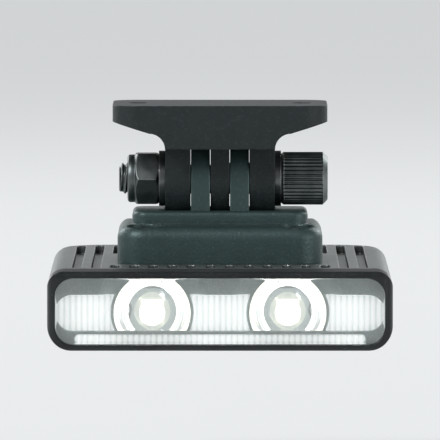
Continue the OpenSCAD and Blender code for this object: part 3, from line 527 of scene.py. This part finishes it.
def socket_head(head_r, head_l, angle, chamfer, flats, depth, teeth, knurl):
    """Grid of a screw head from its socket's floor, out over its rim and down to its underside.

    The profile runs along the axis and outwards. In the socket the radius is a hexagon's, and on
    the flank a row of teeth takes up to the knurl's depth off it, as half a wave of the angle."""
    lip, foot_l, foot_in, sharpness = 0.35, 0.4, 0.3, 0.7
    teeth_top, teeth_foot = head_l - chamfer - 0.05, 0.5
    half = flats / 2
    socket = stations((head_l - depth, 0), (head_l - depth, half), (head_l, half), step=0.4)
    lead = stations((head_l, half + lip), (head_l, head_r - chamfer), (head_l - chamfer, head_r),
                    step=0.3)
    flank = stations((teeth_top, head_r), (teeth_foot, head_r), step=0.25)
    under = stations((foot_l, head_r), (0, head_r - foot_in), (0, 0), step=0.5)
    hexed = socket[:, 1:] * hexagon(2, angle)
    wave = knurl * np.abs(np.sin(angle * teeth / 2)) ** sharpness
    radius = np.concatenate((
        hexed, all_round(lead, angle), flank[:, 1:] - wave, all_round(under, angle)))
    return rings(np.concatenate((socket, lead, flank, under))[:, 0], radius, angle)


def cross_bolt():
    """Cross bolt of the hinge: a knurled socket head, and a shank whose tip carries its thread.

    The thread's radius falls from the crest by a triangle wave of the place along the axis less
    the angle's share of a turn."""
    low, high = span("pivot_bolt")
    seat = span("pivot_washers")[1][0]
    axis = (low + high) / 2
    angle = angles(240)
    shank_r, pitch, thread_depth, thread_end, point = 2.5, 0.8, 0.4, -10, 0.5
    tip = low[0] - seat
    head = socket_head((high[2] - low[2]) / 2, high[0] - seat, angle,
                       chamfer=0.8, flats=4, depth=3, teeth=40, knurl=0.22)
    shank = stations((tip, 0), (tip, shank_r - point), (tip + point, shank_r),
                     (thread_end, shank_r), step=0.1)
    turn = (shank[:, :1] / pitch - angle / (2 * math.pi)) % 1
    on_flank = shank[:, 1:] > shank_r - 0.9 * point
    cut = thread_depth * np.abs(2 * turn - 1) * on_flank
    thread = rings(shank[:, 0], np.maximum(shank[:, 1:] - cut, 0), angle)
    plain = turned(stations((thread_end, shank_r), (0, shank_r), (0, 0), step=1.0), angle)
    place = np.array((seat, axis[1], axis[2]))
    new_piece("cross_bolt", [head + place, np.concatenate((thread, plain)) + place], HINGE,
              "hinge_steel", "hanger", "pivot_bolt")


def lock_nut():
    """Lock nut: a hexagon whose corners are turned off at both ends, and a round collar.

    Its radius is the lesser of the hexagon's and of a cone that opens away from each end face."""
    low, high = span("pivot_nut")
    axis = (low + high) / 2
    angle = angles(180)
    flats = high[2] - low[2]
    face_r, slope = 0.48 * flats, 1.7
    collar_l, collar_r, bore_r, funnel_l, funnel_out = 1.2, 3.8, 2.55, 0.7, 0.25
    shoulder, middle_l, middle_in = 0.4, 0.15, 0.12
    along = stations((low[0] + collar_l, 0), (high[0], 0), step=0.08)[:, 0]
    cone = face_r + slope * np.minimum(along - along[0], along[-1] - along)
    hexed = np.minimum(hexagon(flats, angle), cone[:, None])
    collar = stations((low[0] + funnel_l, bore_r), (low[0], bore_r + funnel_out),
                      (low[0], collar_r - shoulder), (low[0] + middle_l, collar_r - middle_in),
                      (low[0] + shoulder, collar_r), (low[0] + collar_l, collar_r), step=0.4)
    bore = stations((high[0], bore_r), (low[0] + funnel_l, bore_r), step=2)
    grid = rings(np.concatenate((collar[:, 0], along, bore[:, 0])),
                 np.concatenate((all_round(collar, angle), hexed, all_round(bore, angle))), angle)
    new_piece("lock_nut", [grid + np.array((0, axis[1], axis[2]))], HINGE,
              "hinge_steel", "hanger", "pivot_nut")


def cap_screws():
    """Four cap screws of the base, each a knurled socket head on a plain turned shank."""
    low, high = span("base_screws")
    angle = angles(120)
    head_r, head_l, shank_r, point = 2.75, 3.0, 1.5, 0.2
    tip = low[2] - high[2] + head_l
    head = socket_head(head_r, head_l, angle,
                       chamfer=0.35, flats=2.5, depth=1.5, teeth=30, knurl=0.14)
    shank = turned(stations((tip, 0), (tip, shank_r - point), (tip + point, shank_r),
                            (0, shank_r), (0, 0), step=0.6), angle)
    grids = []
    for x in (low[0] + head_r, high[0] - head_r):
        for y in (low[1] + head_r, high[1] - head_r):
            place = np.array((x, y, high[2] - head_l))
            grids += [upright(grid) + place for grid in (head, shank)]
    new_piece("cap_screws", grids, SCREW, "black_screw", "lamp", "base_screws")


def window_pane():
    """Clear window with a flange behind and a pillowed face.

    The profile gives how far each ring lies inside the outline and how far forward. Over the face
    the pillow rises as 1 less the square of the share of the way still to go to the middle line.
    Each ring is a rectangle whose corners are quarter circles."""
    low, high = span("front_lens")
    centre = (low + high) / 2
    half_w, half_h = (high[0] - low[0]) / 2, (high[2] - low[2]) / 2
    step_in, flange_t, corner_r, rim_r, bulge = 0.5, 1.0, 3.4, 0.3, 0.16
    back_rings, rim_rings, face_rings, corner_points = 8, 7, 15, 10
    turn = np.linspace(0, math.pi / 2, rim_rings)
    share = np.linspace(0, 1, face_rings)[1:]
    reach = half_h - step_in - rim_r
    profile = np.concatenate((
        np.stack((np.linspace(half_h, 0, back_rings), np.full(back_rings, high[1])), 1),
        np.array(((0.0, high[1] - flange_t), (step_in, high[1] - flange_t))),
        np.stack((step_in + rim_r * (1 - np.cos(turn)), low[1] + rim_r * (1 - np.sin(turn))), 1),
        np.stack((step_in + rim_r + reach * share, low[1] - bulge * (1 - (1 - share) ** 2)), 1)))
    inset, depth = profile.T
    arc = np.linspace(0, math.pi / 2, corner_points)
    bend = np.concatenate([arc + k * math.pi / 2 for k in range(4)])
    side_x = np.repeat([1, -1, -1, 1], arc.size)
    side_z = np.repeat([1, 1, -1, -1], arc.size)
    radius = np.maximum(corner_r - inset, 0)[:, None]
    x = side_x * (half_w - inset[:, None] - radius) + radius * np.cos(bend)
    z = side_z * (half_h - inset[:, None] - radius) + radius * np.sin(bend)
    y = np.broadcast_to(depth[:, None], x.shape)
    pane = np.stack((x + centre[0], y, z + centre[2]), axis=-1)
    new_piece("window_pane", [pane], WINDOW, "lens_clear", "lamp", "front_lens")


def reeded_block(z, left, right, front, back):
    """Grid of a milky block with upright reeds on its face, from its sides' places at each height.

    The face lies behind the front by the reeds' depth times 1 less the sine's size, one half wave
    to a reed. The first and the last ring fold onto the back, which closes the block below and
    above."""
    depth, samples = 0.16, 10
    count = int((right.max() - left.min()) / REED * samples)
    columns = np.linspace(left.min(), right.max(), count)
    x = np.clip(columns, left[:, None], right[:, None])
    face = front + depth * (1 - np.abs(np.sin(math.pi * x / REED)))
    face[[0, -1]] = back
    x = np.concatenate((x, x[:, ::-1]), 1)
    y = np.concatenate((face, np.full_like(face, back)), 1)
    return np.stack((x, y, np.broadcast_to(z[:, None], x.shape)), axis=-1)


def reeded_bars():
    """Lit bar in three blocks between the two optics, and the thin lit strip below it.

    The blocks' sides are circles about the optics and rounded outer ends, each a root of the
    height."""
    low, high = span("light_bars")
    optic_low, optic_high = span("optic_right")
    bar_h, end_r, gap, strip_h, strip_half, levels = 5.4, 2.4, 0.5, 1.2, 22.7, 31
    rise = np.sin(np.linspace(-math.pi / 2, math.pi / 2, levels))
    rise = np.concatenate((rise[:1], rise, rise[-1:]))
    up = bar_h / 2 * rise
    lamp_x = (optic_low[0] + optic_high[0]) / 2
    notch = np.sqrt(((optic_high[0] - optic_low[0]) / 2 + gap) ** 2 - up ** 2)
    past = np.maximum(np.abs(up) - bar_h / 2 + end_r, 0)
    end = high[0] - end_r + np.sqrt(end_r ** 2 - past ** 2)
    strip_end = strip_half - strip_h / 2 * (1 - np.sqrt(1 - rise ** 2))
    bar_z, strip_z = high[2] - bar_h / 2 + up, low[2] + strip_h / 2 * (1 + rise)
    sides = ((bar_z, -end, -lamp_x - notch),
             (bar_z, notch - lamp_x, lamp_x - notch),
             (bar_z, lamp_x + notch, end),
             (strip_z, -strip_end, strip_end))
    new_piece("reeded_bars", [reeded_block(*side, low[1], high[1]) for side in sides], LIT_BAR,
              "diffuser_white", "lamp", "light_bars")


def push_button():
    """Rubber button: a dished face with a raised ring, a flange that keeps it in and a nub for
    the switch.

    Over the face the dish falls as 1 less the square of the radius, and the ring adds half a
    cosine. The profile is turned about the button's axis."""
    low, high = span("power_button")
    centre = (low + high) / 2
    flange_r = (high[0] - low[0]) / 2
    face_r, nub_r, dish, edge = flange_r - 1.2, 1.5, 0.4, 0.25
    ring_r, ring_w, ring_h, face_rings = 2.6, 0.5, 0.2, 40
    middle_h, middle_in = 0.1, 0.08
    seat, flange_t = low[2] + 1.55, 0.7
    radius = np.linspace(0, face_r - edge, face_rings)
    ring = ring_h / 2 * (1 + np.cos(math.pi * np.clip((radius - ring_r) / ring_w, -1, 1)))
    face = np.stack((low[2] + dish * (1 - (radius / face_r) ** 2) - ring, radius), 1)
    side = stations((low[2] + middle_h, face_r - middle_in), (low[2] + edge, face_r),
                    (seat, face_r), (seat, flange_r), (seat + flange_t, flange_r),
                    (seat + flange_t, nub_r), (high[2], nub_r), (high[2], 0), step=0.5)
    grid = upright(turned(np.concatenate((face, side)), angles(96)))
    new_piece("push_button", [grid + np.array((centre[0], centre[1], 0))], BUTTON,
              "button_rubber", "button", "power_button")


def socket_cover():
    """Rubber cover of the charging socket: a plate under a round barrel, with a framed face, a
    ribbed pull and two pins.

    At each place across and up, both faces lie off the middle plane by half the thickness, or by
    the root that the barrel's circle gives above its axis, less the roundings of the edges. The
    face loses a line that follows the rim as a bell curve of the distance from it. The pull adds
    a product of two smooth steps, less a wave for its ribs. The outermost rings fold onto the
    back, which closes the sides."""
    low, high = span("port_flap")
    half, thick, edge, columns, levels, barrel_levels = 6.5, 1.9, 0.3, 141, 70, 12
    frame_in, frame_w, frame_d = 1.1, 0.28, 0.35
    pull_half, pull_h, ramp_x, ramp_z, rib, rib_share = 3.25, 0.9, 0.4, 0.35, 0.65, 0.2
    pin_r, pin_edge = 0.6, 0.15
    middle, axis = low[1] + thick / 2, high[2] - thick / 2
    x = np.concatenate(([-half], np.linspace(-half, half, columns), [half]))[:, None]
    turn = np.linspace(math.pi / 2, 0, barrel_levels, endpoint=False)
    z = np.concatenate((axis + thick / 2 * np.sin(turn),
                        np.linspace(axis, low[2], levels)))[None, :]
    from_side, from_foot = half - np.abs(x), z - low[2]
    barrel = np.sqrt((thick / 2) ** 2 - np.maximum(z - axis, 0) ** 2)
    round_x, round_z = (edge - np.sqrt(edge ** 2 - np.clip(edge - inside, 0, edge) ** 2)
                        for inside in (from_side, from_foot))
    plate = np.maximum(barrel - round_x - round_z, 0)
    step_x, step_z = (share ** 2 * (3 - 2 * share) for share in (
        np.clip((pull_half - np.abs(x)) / ramp_x, 0, 1),
        np.clip((low[2] + pull_h - z) / ramp_z, 0, 1)))
    pull = step_x * step_z
    from_rim = np.minimum(np.minimum(from_side, from_foot), axis - z + frame_in)
    bell = np.exp(-((from_rim - frame_in) / frame_w) ** 2)
    line = frame_d * bell * (1 - pull) * (plate > frame_d)
    out = high[1] - middle - thick / 2
    ribs = rib_share * out * (1 - np.abs(np.sin(math.pi * x / rib)))
    back = middle - plate
    face = middle + plate - line + pull * (out + round_z - ribs)
    face[[0, -1]] = back[[0, -1]]
    y = np.concatenate((face, back[:, ::-1]), 1)
    up = np.broadcast_to(np.concatenate((z, z[:, ::-1]), 1), y.shape)
    slab = np.stack((np.broadcast_to(x, y.shape), y, up), axis=-1)
    pin = stations((half - edge, 0), (half - edge, pin_r), (high[0] - pin_edge, pin_r),
                   (high[0], pin_r - pin_edge), (high[0], 0), step=0.5)
    pins = turned(pin, angles(32))
    place = np.array((0, middle, axis))
    new_piece("socket_cover", [slab, pins + place, pins * (-1, 1, 1) + place], BUTTON,
              "flap_rubber", "port_cover", "port_flap")


cross_bolt()
lock_nut()
cap_screws()
window_pane()
reeded_bars()
push_button()
socket_cover()


def pale_floor():
    """Wide flat floor below the lamp: an even pale tone from above, clear from below and to the
    soft box under it."""
    half, drop, evenness = 9.0, 22 * MM, 0.65
    height = cad_box[0].z - drop
    mesh = bpy.data.meshes.new("floor")
    corners = np.array(((-half, -half), (half, -half), (half, half), (-half, half)))
    mesh.from_pydata(np.column_stack((corners, np.full(4, height))).tolist(), [], [(0, 1, 2, 3)])
    floor = add_object("floor", mesh)
    f = Finish("floor_pale", Roughness=0.9, Specular_IOR_Level=0.1)
    mesh.materials.append(f.shade({
        "Base Color": f.blend(f.noise(0.004, 2), (0.77, 0.785, 0.79), (0.81, 0.825, 0.83))}))
    even = f.add("ShaderNodeEmission", {}, {"Color": (0.85, 0.868, 0.875, 1), "Strength": 1.0})
    top = f.add("ShaderNodeMixShader", {}, {
        0: f.looked_at() * evenness, 1: Value(f, f.shader.outputs[0]), 2: even})
    below = f.add("ShaderNodeNewGeometry", out="Backfacing")
    to_lamp = f.add("ShaderNodeLightPath", out="Is Shadow Ray")
    clear = f.add("ShaderNodeBsdfTransparent")
    f.surface(f.add("ShaderNodeMixShader", {}, {0: below.at_least(to_lamp), 1: top, 2: clear}))


def stand(made, place, way):
    """Puts a lamp or a camera at a place, looking along a way."""
    made.location = place
    made.rotation_mode = "QUATERNION"
    made.rotation_quaternion = way.to_track_quat("-Z", "Y")


def soft_lamp(name, place, aim, width, power):
    """Square soft box that stands at a place and faces another."""
    data = bpy.data.lights.new(name, "AREA")
    data.size = width
    data.energy = power
    lamp = add_object(name, data)
    lamp.visible_camera = False
    stand(lamp, place, aim - place)


def studio():
    """Pale walls under a dimmer ceiling, dark behind the camera, and five soft lamps."""
    pale_wall, dark_wall = (0.76, 0.777, 0.785), (0.33, 0.34, 0.345)
    ceiling, soft_light = (0.3, 0.31, 0.315), (0.27, 0.282, 0.286)
    world = bpy.data.worlds.new("studio")
    world.use_nodes = True
    bpy.context.scene.world = world
    sky = Graph(world.node_tree)
    way = sky.add("ShaderNodeTexCoord", out="Generated")
    up, ahead = (sky.add("ShaderNodeSeparateXYZ", {}, {"Vector": way}, out=axis) for axis in "ZY")
    walls = sky.blend((0 - ahead).rise(0.3, 0.95), pale_wall, dark_wall)
    walls = sky.blend(up.rise(0.15, 0.8), walls, ceiling)
    tone = sky.blend(sky.looked_at(), soft_light, walls)
    back = sky.add("ShaderNodeBackground", {}, {"Color": tone, "Strength": 1.0})
    sky.add("ShaderNodeOutputWorld", {}, {"Surface": back})
    middle = (cad_box[0] + cad_box[1]) / 2
    for name, off, width, power in (("key", (-0.7, -0.8, 0.9), 0.5, 12),
                                    ("fill", (0.9, -0.7, 0.2), 0.6, 2.8),
                                    ("rim_left", (-0.7, 0.8, 0.5), 0.5, 4.5),
                                    ("rim_right", (0.7, 0.8, 0.5), 0.5, 4.5),
                                    ("under", (-0.35, 0.1, -0.85), 0.5, 6)):
        soft_lamp(name, middle + Vector(off), middle, width, power)


def camera():
    """Long lens in front of the lamp, a little above it, at the photograph's viewing angle."""
    elevation = math.radians(3.0)
    distance, frame_width, far = 1.7, 70 * MM, 30
    data = bpy.data.cameras.new("camera")
    data.sensor_width = 36
    data.lens = data.sensor_width * distance / frame_width
    data.clip_end = far
    aim = Vector((0, 0, (cad_box[0].z + cad_box[1].z) / 2))
    back = Vector((0, -math.cos(elevation), math.sin(elevation)))
    bpy.context.scene.camera = add_object("camera", data)
    stand(bpy.context.scene.camera, aim + back * distance, -back)


pale_floor()
studio()
camera()
bpy.context.scene.view_settings.view_transform = "Standard"
